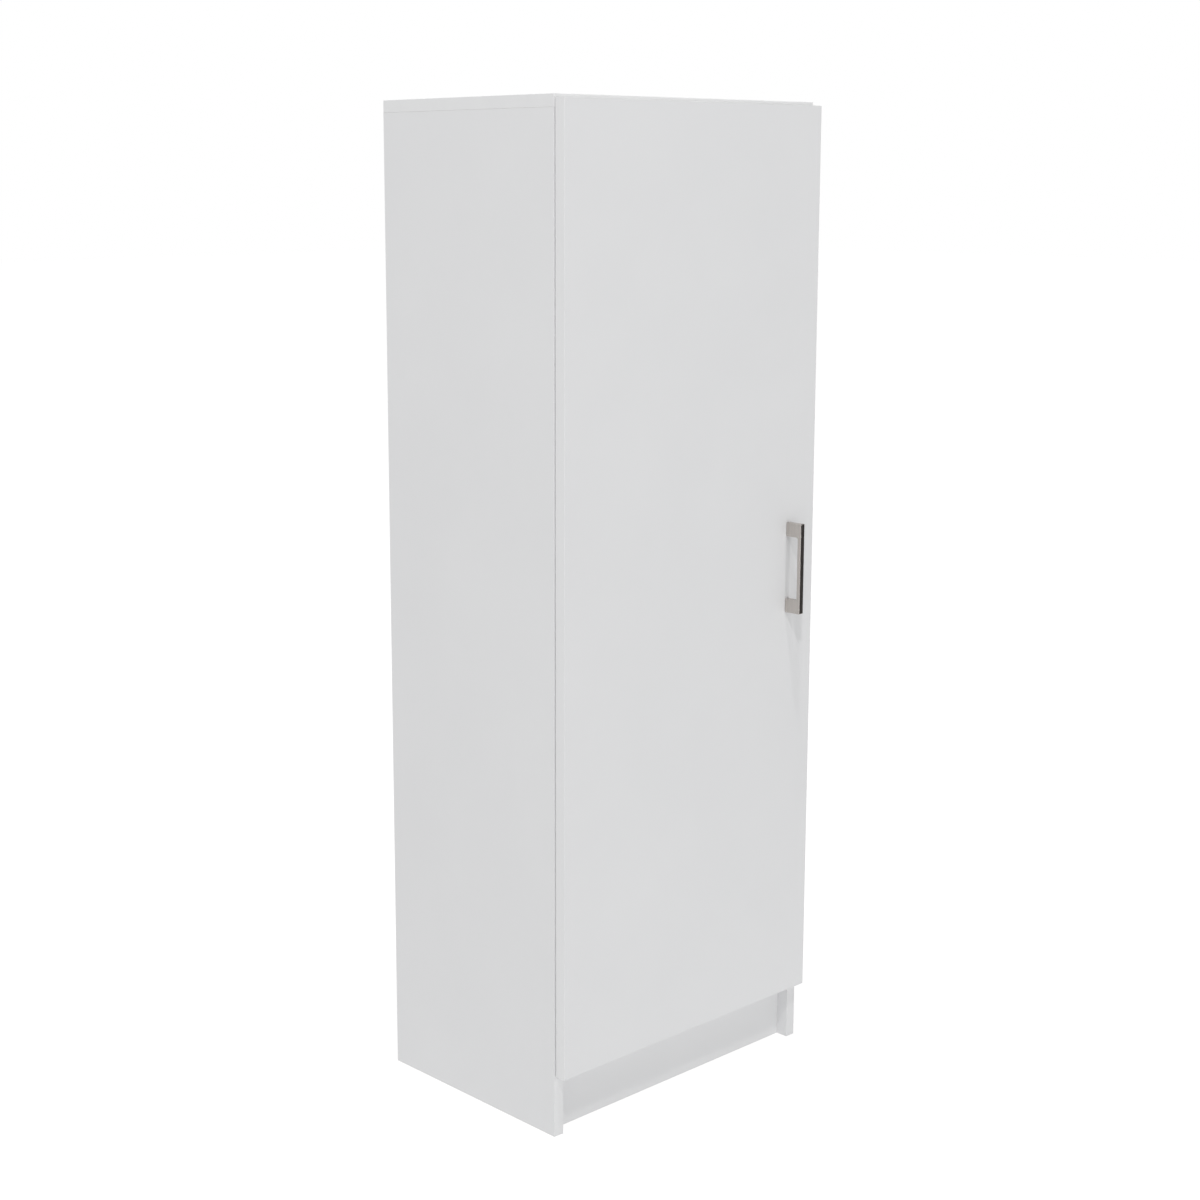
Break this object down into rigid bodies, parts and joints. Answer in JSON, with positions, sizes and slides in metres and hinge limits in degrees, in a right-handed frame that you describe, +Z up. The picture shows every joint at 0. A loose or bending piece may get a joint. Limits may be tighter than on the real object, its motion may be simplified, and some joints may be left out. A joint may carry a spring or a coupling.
{
  "type": "broom cupboard",
  "caption": "Tall narrow white cupboard on a set-back plinth, with a full-overlay door on concealed hinges, a bar handle, a broom bay and shelves.",
  "frame": {"origin": "on the floor, under the middle of the cupboard's width and of its whole depth, handle included", "axes": "+Z up the height, +X to the right seen from the front, front and door towards -Y"},
  "size_m": [0.576, 0.4408, 1.6],
  "materials": {
    "melamine_board": "smooth white melamine on chipboard",
    "hardboard": "thin hardboard, white inside and bare brown outside",
    "plastic_strip": "moulded white plastic",
    "bright_steel": "zinc-plated steel",
    "hinge_steel": "nickel-plated pressed steel",
    "zinc_casting": "dull cast zinc",
    "beech_dowel": "fluted beech",
    "brushed_nickel": "satin brushed nickel",
    "clear_rubber": "soft clear bumper"
  },
  "bodies": {
    "carcase": {"left_side_panel": "melamine_board", "right_side_panel": "melamine_board", "top_panel": "melamine_board", "bottom_panel": "melamine_board", "plinth_board": "melamine_board", "divider_panel": "melamine_board", "shelf_1": "melamine_board", "shelf_2": "melamine_board", "back_panel_lower": "hardboard", "back_panel_upper": "hardboard", "back_joint_strip": "plastic_strip", "shelf_1_pin_front_left": "bright_steel", "shelf_1_pin_front_right": "bright_steel", "shelf_1_pin_back_left": "bright_steel", "shelf_1_pin_back_right": "bright_steel", "shelf_2_pin_front_left": "bright_steel", "shelf_2_pin_front_right": "bright_steel", "shelf_2_pin_back_left": "bright_steel", "shelf_2_pin_back_right": "bright_steel", "top_left_front_bolt": "bright_steel", "top_left_front_cam": "zinc_casting", "top_left_back_bolt": "bright_steel", "top_left_back_cam": "zinc_casting", "top_right_front_bolt": "bright_steel", "top_right_front_cam": "zinc_casting", "top_right_back_bolt": "bright_steel", "top_right_back_cam": "zinc_casting", "bottom_left_front_bolt": "bright_steel", "bottom_left_front_cam": "zinc_casting", "bottom_left_back_bolt": "bright_steel", "bottom_left_back_cam": "zinc_casting", "bottom_right_front_bolt": "bright_steel", "bottom_right_front_cam": "zinc_casting", "bottom_right_back_bolt": "bright_steel", "bottom_right_back_cam": "zinc_casting", "divider_dowel_bottom_front": "beech_dowel", "divider_dowel_top_front": "beech_dowel", "divider_dowel_bottom_back": "beech_dowel", "divider_dowel_top_back": "beech_dowel", "hinge_plate_bottom": "hinge_steel", "hinge_arm_bottom": "hinge_steel", "hinge_plate_middle": "hinge_steel", "hinge_arm_middle": "hinge_steel", "hinge_plate_top": "hinge_steel", "hinge_arm_top": "hinge_steel"},
    "outer_links": {"hinge_outer_link_bottom": "hinge_steel", "hinge_outer_link_middle": "hinge_steel", "hinge_outer_link_top": "hinge_steel"},
    "inner_links": {"hinge_inner_link_bottom": "hinge_steel", "hinge_inner_link_middle": "hinge_steel", "hinge_inner_link_top": "hinge_steel"},
    "door": {"door_panel": "melamine_board", "door_handle": "brushed_nickel", "handle_screw_lower": "bright_steel", "handle_screw_upper": "bright_steel", "door_bumper_lower": "clear_rubber", "door_bumper_upper": "clear_rubber", "hinge_cup_bottom": "hinge_steel", "hinge_cup_middle": "hinge_steel", "hinge_cup_top": "hinge_steel"}
  },
  "joints": [
    {"name": "outer_links_turn", "type": "hinge", "parent": "carcase", "child": "outer_links", "pos_m": [-0.242, -0.1546, 0], "axis": [0, 0, -1], "range_deg": [-26.77, 0]},
    {"name": "door_turn", "type": "hinge", "parent": "outer_links", "child": "door", "pos_m": [-0.27855, -0.1734, 0], "axis": [0, 0, -1], "range_deg": [0, 121.76]},
    {"name": "inner_links_turn", "type": "hinge", "parent": "carcase", "child": "inner_links", "pos_m": [-0.25925, -0.1776, 0], "axis": [0, 0, -1], "range_deg": [-44.94, 0]}
  ],
  "couplings": [
    {"joint": "outer_links_turn", "follows": "door_turn", "ratio": -0.21979},
    {"joint": "inner_links_turn", "follows": "door_turn", "ratio": -0.36896}
  ]
}
